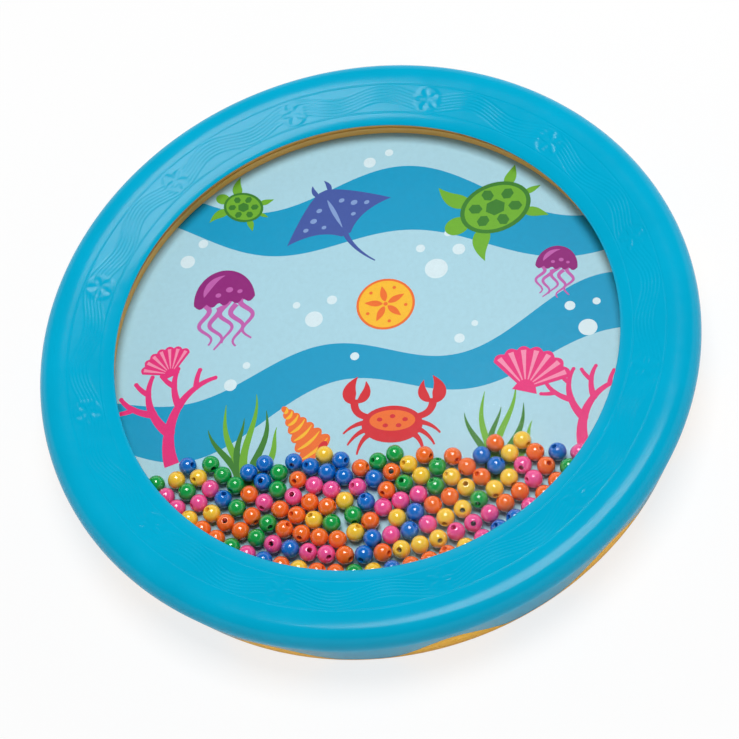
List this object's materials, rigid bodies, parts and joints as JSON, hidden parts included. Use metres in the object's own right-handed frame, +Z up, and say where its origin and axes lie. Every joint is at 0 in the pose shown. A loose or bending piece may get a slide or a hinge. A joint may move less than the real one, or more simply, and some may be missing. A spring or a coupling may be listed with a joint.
{
  "type": "ocean drum",
  "caption": "Shallow round hand drum: loose coloured beads roll over a printed sea picture under a clear window, held between a blue scalloped front frame and a yellow rear frame.",
  "frame": {"origin": "middle of the rear frame's flat back, on the surface the drum lies on", "axes": "+Z up out through the window, -Y towards the side where the beads are heaped, +X to the right of it"},
  "size_m": [0.25, 0.25, 0.0294],
  "materials": {
    "blue_plastic": "glossy moulded",
    "yellow_plastic": "glossy moulded",
    "clear_plastic": "clear, polished",
    "tan_plastic": "satin moulded",
    "printed_sheet": "printed, satin",
    "white_plastic": "satin sheet",
    "screw_steel": "zinc plated",
    "pink_bead": "glossy moulded",
    "orange_bead": "glossy moulded",
    "yellow_bead": "glossy moulded",
    "green_bead": "glossy moulded",
    "blue_bead": "glossy moulded"
  },
  "bodies": {
    "drum": {"front_frame": "blue_plastic", "rear_frame": "yellow_plastic", "front_window": "clear_plastic", "bead_wall_ring": "tan_plastic", "picture_disc": "printed_sheet", "rear_head": "white_plastic", "frame_screws": "screw_steel"},
    "wall_beads": {"wall_beads_pink": "pink_bead", "wall_beads_orange": "orange_bead", "wall_beads_yellow": "yellow_bead", "wall_beads_green": "green_bead", "wall_beads_blue": "blue_bead"},
    "heap_beads": {"heap_beads_pink": "pink_bead", "heap_beads_orange": "orange_bead", "heap_beads_yellow": "yellow_bead", "heap_beads_green": "green_bead", "heap_beads_blue": "blue_bead"}
  },
  "joints": [
    {"name": "wall_beads_roll", "type": "hinge", "parent": "drum", "child": "wall_beads", "pos_m": [0, 0, 0.017], "axis": [0, 0, 1], "continuous": true},
    {"name": "heap_beads_roll", "type": "hinge", "parent": "drum", "child": "heap_beads", "pos_m": [0, 0, 0.017], "axis": [0, 0, 1], "continuous": true}
  ]
}
